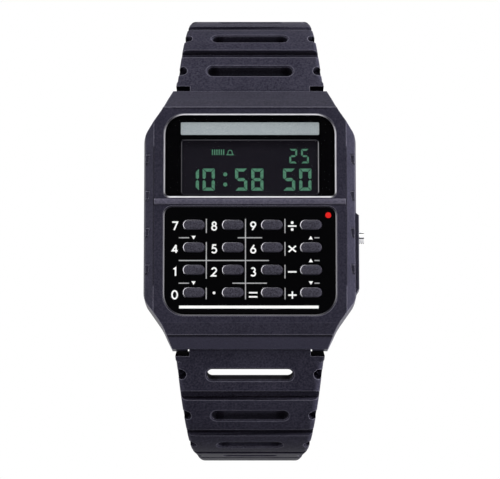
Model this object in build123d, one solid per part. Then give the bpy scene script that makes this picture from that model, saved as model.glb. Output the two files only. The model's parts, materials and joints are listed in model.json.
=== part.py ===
import os
from math import acos, cos, radians, sin, sqrt

from build123d import *

# Digital wristwatch with a sixteen-key calculator, in millimetres.
# The origin is the middle of the case back's outer face. +Z leaves the dial, +Y points to 12 o'clock
# and +X to 3 o'clock. The band is unbuckled, and both halves curve down from the case as moulded.

# Shared clearances and overruns
slip_gap = 0.1
thin_gap = 0.05
seat_gap = 0.01
overrun = 2.0

# Case: a moulded block, the overlap of a plan, a side and a front outline
case_width = 34.0
case_length = 42.0
case_face = 8.0
case_rim = 0.3
straight_length = 26.4
waist_share = 0.55
waist_inset = 3.0
end_inset = 4.6
shoulder_radius = 3.4
waist_radius = 8.0
face_north_inset = 3.3
face_south_inset = 3.8
face_north = case_length / 2 - face_north_inset
face_south = case_length / 2 - face_south_inset
north_step_drop = 0.4
north_step_run = 0.2
north_band_run = 1.25
north_band_drop = 0.95
south_bevel_run = 1.85
south_bevel_drop = 0.4
south_step_run = 0.15
south_step_drop = 0.3
end_edge_level = 4.7
lug_toe_level = 1.9
lug_toe_run = 1.8
face_inset = 1.6
bevel_inset = 0.25
bevel_drop = 1.5
flank_top = 5.6
flank_bottom = 2.4
rim_inset = 0.5
face_width = case_width - 2 * face_inset
bevel_width = case_width - 2 * bevel_inset
end_width = case_width - 2 * end_inset

# Grip steps along both bevels of the case
grip_count = 4
grip_first = 10.05
grip_pitch = 5.94
grip_length = 2.3
grip_crest = 1.2
grip_rise = 0.36
grip_breadth = 1.0
grip_outer = bevel_width / 2
grip_inner = grip_outer - grip_breadth

# Guard on the 3 o'clock side, round the mode button
guard_reach = 0.45
guard_north = 0.45
guard_south = -12.15
guard_ramp = 0.7
guard_bottom = 2.4
guard_top = 6.0

# Inside of the case, from the back plate up to the deck under the windows
back_thickness = 0.8
side_wall = 4.5
cavity_width = case_width - 2 * side_wall
south_wall = 1.4
north_wall = 2.1
cavity_south = south_wall - face_south
cavity_north = face_north - north_wall
cavity_radius = 1.5
deck_level = 6.0
ledge_level = 6.8

# Display window, with the lens in its rebate
lens_border = 1.7
lens_width = face_width - 2 * lens_border
lens_end_border = 1.2
lens_south = 3.05
lens_north = face_north - lens_end_border
lens_low_radius = 0.9
lens_high_radius = 3.2
lens_top = 8.2
lens_chamfer = 0.25
mask_thickness = 0.13
mask_border = 2.6
view_width = lens_width - 2 * mask_border
view_end_border = 3.9
view_south = 3.6
view_north = lens_north - view_end_border
view_radius = 0.35
view_margin = 0.2
trim_end_border = 1.1
trim_length = 2.05
trim_north = lens_north - trim_end_border
trim_south = trim_north - trim_length
trim_thickness = 0.06
trim_radius = 0.2

# Keypad window, with the panel in its rebate
panel_border = 1.65
panel_width = face_width - 2 * panel_border
panel_end_border = 1.2
panel_south = panel_end_border - face_south
panel_north = 1.5
panel_length = panel_north - panel_south
panel_low_radius = 3.4
panel_high_radius = 1.4
panel_chamfer = 0.2
key_deck_border = 1.45
key_deck_width = panel_width - 2 * key_deck_border
key_deck_south_border = 1.4
key_deck_north_border = 1.2
key_deck_south = panel_south + key_deck_south_border
key_deck_north = panel_north - key_deck_north_border

# Keys, four rows of four
key_rows = 4
key_columns = 4
key_names = [
    ["key_7", "key_8", "key_9", "key_divide"],
    ["key_4", "key_5", "key_6", "key_multiply"],
    ["key_1", "key_2", "key_3", "key_minus"],
    ["key_0", "key_point", "key_equals", "key_plus"],
]
key_left_share = 0.3255
key_top_share = 0.1697
key_pitch_x_share = 0.2262
key_pitch_y_share = 0.2074
key_left = -key_left_share * panel_width
key_top_row = panel_north - key_top_share * panel_length
key_pitch_x = key_pitch_x_share * panel_width
key_pitch_y = key_pitch_y_share * panel_length
key_length = 3.6
key_breadth = 1.56
key_proud = 0.35
key_edge = 0.22
key_flange_length = 4.3
key_flange_breadth = 2.2
key_flange_thickness = 0.4
key_hole_gap = 0.09
key_travel = 0.4

# Module: the works, stacked from the back plate towards the dial
module_gap = 0.15
frame_bottom = 1.5
board_bottom = 3.9
board_thickness = 0.7
chip_pocket_width = 16.0
chip_pocket_length = 6.4
chip_pocket_border = 0.8
chip_pocket_y = cavity_north - chip_pocket_border - chip_pocket_length / 2
battery_border = 2.5
battery_south_border = 1.6
battery_room = cavity_north - cavity_south - chip_pocket_length
battery_diameter = min(cavity_width, battery_room) - 2 * battery_border
battery_thickness = 1.6
battery_y = cavity_south + battery_south_border + battery_diameter / 2
battery_pocket_depth = 1.85
battery_step = 0.32
chip_radius = 2.6
chip_height = 0.8
chip_x = -3.6
crystal_radius = 0.9
crystal_length = 5.6
crystal_x = 4.2
clip_width = 5.0
clip_thickness = 0.25
clip_overlap = 1.2
buzzer_diameter = 14.0
buzzer_thickness = 0.25
lcd_border = 0.6
lcd_width = cavity_width - 2 * lcd_border
lcd_end_border = 3.1
lcd_south = 3.4
lcd_north = lens_north - lcd_end_border
lcd_thickness = 0.85
zebra_border = 0.4
zebra_width = lcd_width - 2 * zebra_border
zebra_breadth = 0.8
zebra_inset = 0.25
sheet_thickness = 0.6
sheet_edge_gap = 0.2
pad_length = 3.0
pad_breadth = 1.2

# Back plate, gasket and screws
plate_inset = 1.5
plate_end_inset = 0.4
plate_width = case_width - 2 * plate_inset
plate_end_width = end_width - 2 * plate_end_inset
plate_length_inset = 3.8
plate_straight_inset = 1.6
plate_length = case_length - 2 * plate_length_inset
plate_straight = straight_length - 2 * plate_straight_inset
gasket_inset = 0.3
gasket_breadth = 0.6
gasket_height = 0.6
screw_border = 1.2
screw_x = plate_width / 2 - screw_border
screw_end_border = 2.0
screw_y = plate_straight / 2 - screw_end_border
screw_head_radius = 1.0
screw_head_height = 0.45
screw_shank_radius = 0.6
screw_length = 3.6
screw_slot_width = 0.3
screw_slot_depth = 0.2

# Mode button, which slides in through the guard
button_y = -2.92
button_z = 4.4
button_radius = 1.0
button_proud = 0.8
button_travel = 0.6
button_head_length = 1.1
button_stem_radius = 0.55
button_groove_depth = 0.12
button_groove_width = 0.16
button_groove_count = 2
button_stop_gap = 0.15
clip_bore_radius = 1.3
clip_bore_depth = 1.1
button_clip_radius = 1.1
button_clip_thickness = 0.25
stem_tail = 0.1
seal_bore_radius = 0.9
seal_bore_length = 0.5
seal_inset = 2.2
seal_x = case_width / 2 - seal_inset

# Spring bars between the lugs
lug_wall = 2.45
lug_gap = end_width - 2 * lug_wall
bar_inset = 1.1
bar_y = case_length / 2 - bar_inset
bar_z = 3.1
bar_radius = 0.75
bar_tip_radius = 0.45
bar_tip_length = 1.2
bar_end_gap = 0.3
knuckle_radius = 1.5
knuckle_room_gap = 0.6
knuckle_room_top = 4.9
knuckle_room_edge = 4.35

# Band, measured along its middle line from the spring bar
band_thickness = 2.8
band_start_angle = 24.0
band_straight = 7.0
band_bend_radius = 14.3
band_bend_end = 88.0
band_sweep_radius = 130.0
neck_side_gap = 0.25
neck_width = lug_gap - 2 * neck_side_gap
neck_length = 1.7
band_root_inset = 0.3
band_waist_run = 28.0
band_waist_share = 0.7355
band_end_share = 0.678
band_root_width = end_width - 2 * band_root_inset
band_waist_width = band_waist_share * band_root_width
band_end_width = band_end_share * band_root_width
buckle_band_length = 66.0
link_first = 4.8
link_pitch = 6.8
slot_shares = [0.597, 0.571, 0.525, 0.466]
slot_breadth = 1.75
slot_rim = 0.25
slot_rim_taper = 45.0
groove_breadth = 1.6
groove_depth = 0.8
groove_taper = 25.0
scallop_radius = 0.85
scallop_inset = 0.5
scallop_depth = 1.3
hole_count = 5
hole_first = link_first + (len(slot_shares) + 1) * link_pitch
hole_radius = 1.1
rib_depth = 0.35
rib_breadth = 0.9
tip_corner_radius = 4.0

# Buckle, tongue and keeper
tongue_slot_width = 3.0
tongue_slot_length = 3.4
buckle_arm = 1.7
buckle_side_gap = 0.35
buckle_length = 10.0
buckle_front = 1.8
buckle_thickness = 1.8
buckle_corner_radius = 1.6
buckle_eye_radius = 1.3
buckle_pin_inset = 0.55
tongue_width = 2.0
tongue_thickness = 0.95
tongue_eye_radius = 1.35
tongue_tip_inset = 0.5
tongue_tip_thickness = 0.45
tongue_root = 0.2
keeper_run = 50.5
keeper_length = 5.0
keeper_wall = 1.1
keeper_side_gap = 0.4
keeper_under_gap = 0.45
keeper_over_room = 2.8
keeper_corner_radius = 0.8


def prism(outline, plane, reach):
    return extrude(plane * outline, amount=reach, both=True)


def slab(outline, bottom, top):
    return extrude(Pos(0, 0, bottom) * outline, amount=top - bottom, dir=(0, 0, 1))


def window(width, south, north, low_radius, high_radius):
    # Rectangle with one radius on its two lower corners and another on its two upper ones
    half = width / 2
    shape = Polygon((-half, south), (half, south), (half, north), (-half, north), align=None)
    shape = fillet(shape.vertices().group_by(Axis.Y)[0], low_radius)
    return fillet(shape.vertices().group_by(Axis.Y)[-1], high_radius)


def cavity_outline(growth):
    # Outline of the works' room, grown or shrunk all round
    radius = cavity_radius + growth
    return window(cavity_width + 2 * growth, cavity_south - growth, cavity_north + growth, radius, radius)


def mirrored(points):
    return points + [(-x, y) for x, y in reversed(points)]


def path(run):
    # Middle line of the band in the side view: a straight start, a tight bend and a long sweep.
    # Gives the place and the heading, in degrees below the horizontal, at a run from the spring bar.
    angle = radians(band_start_angle)
    straight = min(run, band_straight)
    bend = min(max(run - band_straight, 0), bend_run())
    sweep = max(run - band_straight - bend_run(), 0)
    y = bar_y + straight * cos(angle)
    z = bar_z - straight * sin(angle)
    for radius, arc in ((band_bend_radius, bend), (band_sweep_radius, sweep)):
        turned = angle + arc / radius
        y += radius * (sin(turned) - sin(angle))
        z -= radius * (cos(angle) - cos(turned))
        angle = turned
    return y, z, angle


def bend_run():
    return band_bend_radius * radians(band_bend_end - band_start_angle)


def beside(run, offset):
    # Point at a distance outward from the middle line
    y, z, angle = path(run)
    return y + offset * sin(angle), z + offset * cos(angle)


def station(run, offset=0):
    # Plane on the band: local X across, Y along the band, Z outward
    y, z = beside(run, offset)
    angle = path(run)[2]
    return Plane(origin=(0, y, z), x_dir=(1, 0, 0), z_dir=(0, sin(angle), cos(angle)))


def band_width_at(run, length):
    if run < band_waist_run:
        return band_root_width + (band_waist_width - band_root_width) * run / band_waist_run
    share = (run - band_waist_run) / (length - band_waist_run)
    return band_waist_width + (band_end_width - band_waist_width) * share


def band_side(length):
    # Side outline: two parallel lines of one straight and two arcs each, closed at both ends
    bend_end = band_straight + bend_run()
    joints = [0, band_straight, bend_end, length]
    lines = []
    for offset in (band_thickness / 2, -band_thickness / 2):
        lines.append(Line(beside(joints[0], offset), beside(joints[1], offset)))
        for first, last in zip(joints[1:], joints[2:]):
            middle = (first + last) / 2
            lines.append(ThreePointArc(beside(first, offset), beside(middle, offset), beside(last, offset)))
    for run in (joints[0], joints[-1]):
        lines.append(Line(beside(run, band_thickness / 2), beside(run, -band_thickness / 2)))
    return make_face(lines)


def band_blank(length):
    # Side outline pulled to full width, then trimmed to the taper seen square to the bend
    body = prism(band_side(length), Plane.YZ, band_root_width)
    taper_plane = Plane(origin=(0, 0, 0), x_dir=(1, 0, 0), z_dir=(0, 1, 1))
    edge = []
    for run in (-overrun, band_waist_run, length + overrun):
        y, z, angle = path(run)
        edge.append((band_width_at(run, length) / 2, (y - z) / sqrt(2)))
    outline = Polygon(*mirrored(edge), align=None)
    return body & prism(outline, taper_plane, length)


def band_links(length):
    # Cross grooves between the links, and each link's slot and two edge scallops
    cuts = []
    top = band_thickness / 2
    for row, share in enumerate(slot_shares):
        run = link_first + row * link_pitch
        slot_length = share * band_width_at(run, length)
        slot = SlotOverall(slot_length, slot_breadth)
        cuts.append(extrude(station(run) * slot, amount=band_thickness, both=True))
        rim = SlotOverall(slot_length + 2 * slot_rim, slot_breadth + 2 * slot_rim)
        cuts.append(extrude(station(run, top) * rim, amount=-slot_rim, taper=slot_rim_taper))
        edge = band_width_at(run, length) / 2 - scallop_inset
        for side in (-1, 1):
            scallop = Pos(side * edge, 0) * Circle(scallop_radius)
            cuts.append(extrude(station(run, top) * scallop, amount=-scallop_depth))
        groove = Rectangle(2 * band_root_width, groove_breadth)
        groove_plane = station(run + link_pitch / 2, top)
        cuts.append(extrude(groove_plane * groove, amount=-groove_depth, taper=groove_taper))
    return cuts


def band_neck(body):
    # Narrow neck between the lugs, with the knuckle that turns on the spring bar
    reach = knuckle_radius + neck_length
    for side in (-1, 1):
        place = Pos(side * (neck_width / 2 + band_root_width / 2), -reach / 2)
        waste = place * Rectangle(band_root_width, reach)
        body -= extrude(station(neck_length) * waste, amount=band_thickness, both=True)
    knuckle = Pos(0, bar_y, bar_z) * Rot(0, 90, 0) * Cylinder(knuckle_radius, neck_width)
    bore = Pos(0, bar_y, bar_z) * Rot(0, 90, 0) * Cylinder(bar_radius + thin_gap, 2 * neck_width)
    return body + knuckle - bore


def across(run, radius, length):
    # Cylinder across the band at a run
    y, z, angle = path(run)
    return Pos(0, y, z) * Rot(0, 90, 0) * Cylinder(radius, length)


def half_turn(shape):
    return Rot(0, 0, 180) * shape


def make_case():
    waist = straight_length / 2 + waist_share * (case_length - straight_length) / 2
    plan_edge = [
        (end_width / 2, -case_length / 2),
        (case_width / 2 - waist_inset, -waist),
        (case_width / 2, -straight_length / 2),
        (case_width / 2, straight_length / 2),
        (case_width / 2 - waist_inset, waist),
        (end_width / 2, case_length / 2),
    ]
    plan = Polygon(*mirrored(plan_edge), align=None)
    shoulders = [v for v in plan.vertices() if abs(abs(v.X) - case_width / 2) < thin_gap]
    plan = fillet(shoulders, shoulder_radius)
    waists = [v for v in plan.vertices() if abs(abs(v.Y) - waist) < thin_gap]
    plan = fillet(waists, waist_radius)

    half = case_length / 2
    north_step = face_north + north_step_run
    north_level = case_face - north_step_drop
    south_bevel = face_south + south_bevel_run
    south_level = case_face - south_bevel_drop
    side = Polygon(
        (half, lug_toe_level),
        (half, end_edge_level),
        (north_step + north_band_run, north_level - north_band_drop),
        (north_step, north_level),
        (face_north, case_face),
        (-face_south, case_face),
        (-south_bevel, south_level),
        (-south_bevel - south_step_run, south_level - south_step_drop),
        (-half, end_edge_level),
        (-half, lug_toe_level),
        (-half + lug_toe_run, case_rim),
        (half - lug_toe_run, case_rim),
        align=None,
    )
    front_edge = [
        (case_width / 2 - rim_inset, case_rim),
        (case_width / 2, flank_bottom),
        (case_width / 2, flank_top),
        (bevel_width / 2, case_face - bevel_drop),
        (face_width / 2, case_face),
    ]
    front = Polygon(*mirrored(front_edge), align=None)
    case = slab(plan, case_rim, case_face)
    case &= prism(side, Plane.YZ, case_width)
    case &= prism(front, Plane.XZ, case_length)
    case = add_grips(case)
    case = add_guard(case)
    case = cut_windows(case)
    case = cut_inside(case)
    case = cut_lugs(case)
    return cut_button_way(case)


def add_grips(case):
    # Small steps on the bevel: each rises at its north end and runs out southward
    slope = bevel_drop / ((bevel_width - face_width) / 2)
    crest = case_face - slope * (grip_inner - face_width / 2) - grip_rise
    for index in range(grip_count):
        north = grip_first - index * grip_pitch
        wedge = Polygon(
            (north, crest - bevel_drop),
            (north, crest),
            (north - grip_crest, crest - grip_rise / 2),
            (north - grip_length, crest - bevel_drop),
            align=None,
        )
        pad = extrude(Plane.YZ * wedge, amount=grip_outer - grip_inner, dir=(1, 0, 0))
        case += Pos(grip_inner, 0, 0) * pad
        case += Pos(-grip_outer, 0, 0) * pad
    return case


def add_guard(case):
    inner = case_width / 2 - guard_reach
    outer = case_width / 2 + guard_reach
    outline = Polygon(
        (inner, guard_north + guard_ramp),
        (outer, guard_north),
        (outer, guard_south + guard_ramp),
        (inner, guard_south - guard_ramp),
        align=None,
    )
    return case + slab(outline, guard_bottom, guard_top)


def cut_windows(case):
    lens_room = window(
        lens_width + 2 * slip_gap,
        lens_south - slip_gap,
        lens_north + slip_gap,
        lens_low_radius,
        lens_high_radius,
    )
    panel_room = window(
        panel_width + 2 * slip_gap,
        panel_south - slip_gap,
        panel_north + slip_gap,
        panel_low_radius,
        panel_high_radius,
    )
    view_room = window(
        view_width + 2 * view_margin,
        view_south - view_margin / 2,
        view_north + view_margin,
        view_radius,
        view_radius,
    )
    key_room = window(key_deck_width, key_deck_south, key_deck_north, cavity_radius, view_radius)
    case -= slab(lens_room, ledge_level, case_face + overrun)
    case -= slab(panel_room, ledge_level, case_face + overrun)
    case -= slab(view_room, deck_level - overrun, case_face)
    return case - slab(key_room, deck_level - overrun, case_face)


def plate_outline(growth):
    edge = [
        (plate_end_width / 2 + growth, -plate_length / 2 - growth),
        (plate_width / 2 + growth, -plate_straight / 2),
        (plate_width / 2 + growth, plate_straight / 2),
        (plate_end_width / 2 + growth, plate_length / 2 + growth),
    ]
    return Polygon(*mirrored(edge), align=None)


def screw_places():
    return [(sx * screw_x, sy * screw_y) for sx in (-1, 1) for sy in (-1, 1)]


def cut_inside(case):
    case -= slab(cavity_outline(0), back_thickness - overrun, deck_level)
    case -= slab(plate_outline(slip_gap), back_thickness - overrun, back_thickness)
    groove = cavity_outline(gasket_inset + gasket_breadth + thin_gap)
    groove -= cavity_outline(gasket_inset - thin_gap)
    case -= slab(groove, back_thickness, back_thickness + gasket_height + thin_gap)
    top = screw_head_height + screw_length + slip_gap
    for x, y in screw_places():
        case -= Pos(x, y) * slab(Circle(screw_shank_radius + thin_gap), back_thickness - overrun, top)
    return case


def cut_lugs(case):
    # Room for the band's knuckle between the lugs, and a blind hole in each lug for the bar's tips
    inner = bar_y - knuckle_radius - knuckle_room_gap
    room = Polygon(
        (inner, case_rim - overrun),
        (inner, knuckle_room_top),
        (bar_y + knuckle_room_gap, knuckle_room_top),
        (case_length / 2, knuckle_room_edge),
        (case_length / 2 + overrun, knuckle_room_edge - overrun),
        (case_length / 2 + overrun, case_rim - overrun),
        align=None,
    )
    room = prism(room, Plane.YZ, lug_gap / 2)
    tip = lug_gap / 2 + bar_tip_length
    hole = Pos(0, bar_y, bar_z) * Rot(0, 90, 0) * Cylinder(bar_tip_radius + thin_gap, 2 * tip)
    for cut in (room, hole):
        case -= cut
        case -= half_turn(cut)
    return case


def rod(start, stop, radius):
    # Cylinder along X on the mode button's line
    middle = (start + stop) / 2
    return Pos(middle, button_y, button_z) * Rot(0, 90, 0) * Cylinder(radius, stop - start)


def button_levels():
    # Where the button's head ends outside and inside, at rest
    outside = case_width / 2 + guard_reach + button_proud
    return outside, outside - button_head_length


def cut_button_way(case):
    outside, head_end = button_levels()
    head_room = head_end - button_travel - button_stop_gap
    wall = cavity_width / 2
    case -= rod(head_room, outside, button_radius + slip_gap)
    case -= rod(wall - overrun, head_room + overrun / 2, button_stem_radius + thin_gap)
    case -= rod(wall - overrun, wall + clip_bore_depth, clip_bore_radius)
    return case - rod(seal_x, seal_x + seal_bore_length, seal_bore_radius)


def make_lens():
    lens = slab(
        window(lens_width, lens_south, lens_north, lens_low_radius, lens_high_radius),
        ledge_level + mask_thickness + trim_thickness + seat_gap,
        lens_top,
    )
    return chamfer(lens.faces().sort_by(Axis.Z)[-1].edges(), lens_chamfer)


def make_mask():
    # Black printed film under the lens, open over the display
    film = window(lens_width, lens_south, lens_north, lens_low_radius, lens_high_radius)
    film -= window(view_width, view_south, view_north, view_radius, view_radius)
    return slab(film, ledge_level, ledge_level + mask_thickness)


def make_trim():
    bottom = ledge_level + mask_thickness
    outline = window(view_width, trim_south, trim_north, trim_radius, trim_radius)
    return slab(outline, bottom, bottom + trim_thickness)


def key_places():
    places = []
    for row in range(key_rows):
        for column in range(key_columns):
            place = (key_left + column * key_pitch_x, key_top_row - row * key_pitch_y)
            places.append((key_names[row][column], place))
    return places


def make_panel():
    outline = window(panel_width, panel_south, panel_north, panel_low_radius, panel_high_radius)
    panel = slab(outline, ledge_level, case_face)
    panel = chamfer(panel.faces().sort_by(Axis.Z)[-1].edges(), panel_chamfer)
    hole = SlotOverall(key_length + 2 * key_hole_gap, key_breadth + 2 * key_hole_gap)
    for name, (x, y) in key_places():
        panel -= Pos(x, y) * slab(hole, ledge_level - overrun, case_face + overrun)
    return panel


def key_levels():
    flange_top = ledge_level - thin_gap
    return flange_top - key_flange_thickness, flange_top


def make_key():
    bottom, flange_top = key_levels()
    cap = slab(SlotOverall(key_length, key_breadth), bottom, case_face + key_proud)
    cap = chamfer(cap.faces().sort_by(Axis.Z)[-1].edges(), key_edge)
    return cap + slab(SlotOverall(key_flange_length, key_flange_breadth), bottom, flange_top)


def make_contact_sheet():
    # Rubber sheet over the board, with a raised pad under each key
    bottom = board_bottom + board_thickness
    base = window(
        key_deck_width - 2 * sheet_edge_gap,
        key_deck_south + sheet_edge_gap,
        key_deck_north - sheet_edge_gap,
        view_radius,
        view_radius,
    )
    sheet = slab(base, bottom, bottom + sheet_thickness)
    pad_top = key_levels()[0] - key_travel - thin_gap
    for name, (x, y) in key_places():
        sheet += Pos(x, y) * slab(Rectangle(pad_length, pad_breadth), bottom, pad_top)
    return sheet


def make_module_frame():
    frame = slab(cavity_outline(-module_gap), frame_bottom, board_bottom)
    pocket = Circle(battery_diameter / 2 + slip_gap)
    frame -= Pos(0, battery_y) * slab(pocket, frame_bottom - overrun, frame_bottom + battery_pocket_depth)
    chip_room = Pos(0, chip_pocket_y) * Rectangle(chip_pocket_width, chip_pocket_length)
    return frame - slab(chip_room, frame_bottom - overrun, board_bottom + overrun)


def make_board():
    return slab(cavity_outline(-module_gap), board_bottom, board_bottom + board_thickness)


def make_battery():
    # Coin cell: a can with a slightly smaller cap on its inner side
    top = frame_bottom + battery_pocket_depth - thin_gap
    bottom = top - battery_thickness
    can = slab(Circle(battery_diameter / 2), bottom, top - battery_step)
    cap = slab(Circle(battery_diameter / 2 - battery_thickness), bottom, top)
    return Pos(0, battery_y) * (can + cap)


def make_battery_clip():
    north = battery_y + battery_diameter / 2 + clip_overlap
    south = battery_y - battery_diameter / 2 - clip_overlap
    middle = (north + south) / 2
    strip = Pos(0, middle) * RectangleRounded(clip_width, north - south, clip_overlap / 2)
    return slab(strip, frame_bottom - clip_thickness, frame_bottom)


def make_chip():
    blob = slab(Circle(chip_radius), board_bottom - chip_height, board_bottom)
    blob = chamfer(blob.faces().sort_by(Axis.Z)[0].edges(), chip_height / 2)
    return Pos(chip_x, chip_pocket_y) * blob


def make_crystal():
    level = board_bottom - crystal_radius
    return Pos(crystal_x, chip_pocket_y, level) * Rot(0, 90, 0) * Cylinder(crystal_radius, crystal_length)


def make_buzzer():
    disc = slab(Circle(buzzer_diameter / 2), back_thickness, back_thickness + buzzer_thickness)
    return Pos(0, battery_y) * disc


def make_lcd():
    bottom = deck_level - thin_gap - lcd_thickness
    outline = window(lcd_width, lcd_south, lcd_north, view_radius, view_radius)
    return slab(outline, bottom, bottom + lcd_thickness)


def make_zebra_strips():
    # Two rubber connector strips that carry the display above the board
    bottom = board_bottom + board_thickness
    top = deck_level - thin_gap - lcd_thickness
    offset = zebra_inset + zebra_breadth / 2
    strips = []
    for y in (lcd_south + offset, lcd_north - offset):
        strips.append(Pos(0, y) * slab(Rectangle(zebra_width, zebra_breadth), bottom, top))
    return Compound(strips)


def make_gasket():
    ring = cavity_outline(gasket_inset + gasket_breadth) - cavity_outline(gasket_inset)
    return slab(ring, back_thickness, back_thickness + gasket_height)


def make_case_back():
    plate = slab(plate_outline(0), 0, back_thickness)
    for x, y in screw_places():
        plate -= Pos(x, y) * slab(Circle(screw_head_radius + thin_gap), -overrun, screw_head_height)
        plate -= Pos(x, y) * slab(Circle(screw_shank_radius + thin_gap), 0, back_thickness + overrun)
    return plate


def make_screws():
    # Four slotted case screws, heads sunk in the back plate
    screws = []
    head = slab(Circle(screw_head_radius), thin_gap, screw_head_height)
    shank = slab(Circle(screw_shank_radius), screw_head_height, screw_head_height + screw_length)
    slot = slab(Rectangle(2 * screw_head_radius, screw_slot_width), 0, screw_slot_depth)
    for x, y in screw_places():
        screws.append(Pos(x, y) * (head + shank - slot))
    return Compound(screws)


def make_mode_button():
    outside, head_end = button_levels()
    tail = cavity_width / 2 + button_travel + stem_tail
    button = rod(head_end, outside, button_radius) + rod(tail, head_end, button_stem_radius)
    for index in range(button_groove_count):
        start = outside - (2 * index + 2) * button_groove_width
        ring = rod(start, start + button_groove_width, button_radius + overrun)
        ring -= rod(start - overrun, start + overrun, button_radius - button_groove_depth)
        button -= ring
    return button


def make_button_clip():
    start = cavity_width / 2 + clip_bore_depth - button_clip_thickness - thin_gap
    stop = start + button_clip_thickness
    clip = rod(start, stop, button_clip_radius)
    return clip - rod(start - overrun, stop + overrun, button_stem_radius)


def make_button_seal():
    start = seal_x + thin_gap
    stop = start + seal_bore_length - 2 * thin_gap
    ring = rod(start, stop, seal_bore_radius - seat_gap)
    return ring - rod(start - overrun, stop + overrun, button_stem_radius + seat_gap)


def make_spring_bar():
    body_length = neck_width - bar_end_gap
    tips_length = lug_gap + 2 * (bar_tip_length - slip_gap)
    bar = Cylinder(bar_radius, body_length) + Cylinder(bar_tip_radius, tips_length)
    return Pos(0, bar_y, bar_z) * Rot(0, 90, 0) * bar


def make_buckle_band():
    length = buckle_band_length
    body = band_neck(band_blank(length))
    for cut in band_links(length):
        body -= cut
    body += across(length, knuckle_radius, band_end_width)
    body -= across(length, bar_radius + thin_gap, 2 * band_end_width)
    slot = Rectangle(tongue_slot_width, tongue_slot_length + 2 * overrun)
    slot = Pos(0, overrun - tongue_slot_length / 2) * slot
    return body - extrude(station(length) * slot, amount=band_thickness, both=True)


def buckle_foot():
    # Level of the buckle's lowest corner, where the unbuckled watch stands
    y, z, angle = path(buckle_band_length)
    return z - buckle_length * sin(angle) - buckle_thickness / 2 * abs(cos(angle))


def tip_band_length():
    # The other half ends at the same level, so the watch stands square on both
    bend_end = band_straight + bend_run()
    y, z, angle = path(bend_end)
    drop = buckle_foot() - z + band_sweep_radius * cos(angle)
    last = acos(drop / (band_sweep_radius + band_thickness / 2))
    return bend_end + band_sweep_radius * (last - angle)


def make_tip_band():
    length = tip_band_length()
    body = band_neck(band_blank(length))
    for cut in band_links(length):
        body -= cut
    for index in range(hole_count):
        run = hole_first + index * link_pitch
        body -= extrude(station(run) * Circle(hole_radius), amount=band_thickness, both=True)
        rib = Rectangle(2 * band_root_width, rib_breadth)
        rib_plane = station(run - link_pitch / 2, band_thickness / 2)
        body -= extrude(rib_plane * rib, amount=-rib_depth, taper=groove_taper)
    corner = Rectangle(2 * tip_corner_radius, tip_corner_radius, align=(Align.MIN, Align.MIN))
    corner -= Circle(tip_corner_radius)
    place = Pos(band_end_width / 2 - tip_corner_radius, -tip_corner_radius)
    waste = place * corner
    for trim in (waste, mirror(waste, Plane.YZ)):
        body -= extrude(station(length) * trim, amount=band_thickness, both=True)
    return half_turn(body)


def make_buckle_bar():
    half = buckle_inner_half() + buckle_arm - buckle_pin_inset - slip_gap
    return across(buckle_band_length, bar_radius, 2 * half)


def buckle_inner_half():
    return band_end_width / 2 + buckle_side_gap


def make_buckle_frame():
    inner = buckle_inner_half()
    outer = inner + buckle_arm
    plan = Polygon((-outer, 0), (outer, 0), (outer, buckle_length), (-outer, buckle_length), align=None)
    plan = fillet(plan.vertices().group_by(Axis.Y)[-1], buckle_corner_radius)
    opening = Polygon(
        (-inner, -overrun),
        (inner, -overrun),
        (inner, buckle_length - buckle_front),
        (-inner, buckle_length - buckle_front),
        align=None,
    )
    frame = slab(plan - opening, -buckle_thickness / 2, buckle_thickness / 2)
    eyes = Cylinder(buckle_eye_radius, 2 * outer) - Cylinder(2 * buckle_eye_radius, 2 * inner)
    eyes = Rot(0, 90, 0) * eyes
    bore = Rot(0, 90, 0) * Cylinder(bar_radius + thin_gap, 2 * (outer - buckle_pin_inset))
    return station(buckle_band_length) * (frame + eyes - bore)


def make_tongue():
    rest = buckle_thickness / 2 + thin_gap
    reach = buckle_length - tongue_tip_inset
    side = Polygon(
        (0, -tongue_root),
        (0, tongue_eye_radius),
        (buckle_length - buckle_front, rest + tongue_thickness),
        (reach, rest + tongue_tip_thickness),
        (reach, rest),
        (buckle_length - 2 * buckle_front, rest),
        (tongue_eye_radius * 2, -tongue_root),
        align=None,
    )
    blade = prism(side, Plane.YZ, tongue_width / 2)
    eye = Rot(0, 90, 0) * Cylinder(tongue_eye_radius, tongue_width)
    bore = Rot(0, 90, 0) * Cylinder(bar_radius + thin_gap, 2 * tongue_width)
    return station(buckle_band_length) * (blade + eye - bore)


def make_keeper():
    # Loop round the band, with room for the other half over it
    half = band_width_at(keeper_run - keeper_length, buckle_band_length) / 2 + keeper_side_gap
    low = -band_thickness / 2 - keeper_under_gap
    high = band_thickness / 2 + keeper_over_room
    height = high - low
    outer_radius = keeper_corner_radius + keeper_wall
    ring = RectangleRounded(2 * (half + keeper_wall), height + 2 * keeper_wall, outer_radius)
    ring -= RectangleRounded(2 * half, height, keeper_corner_radius)
    loop = prism(Pos(0, (low + high) / 2) * ring, Plane.XZ, keeper_length / 2)
    return station(keeper_run) * loop


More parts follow.
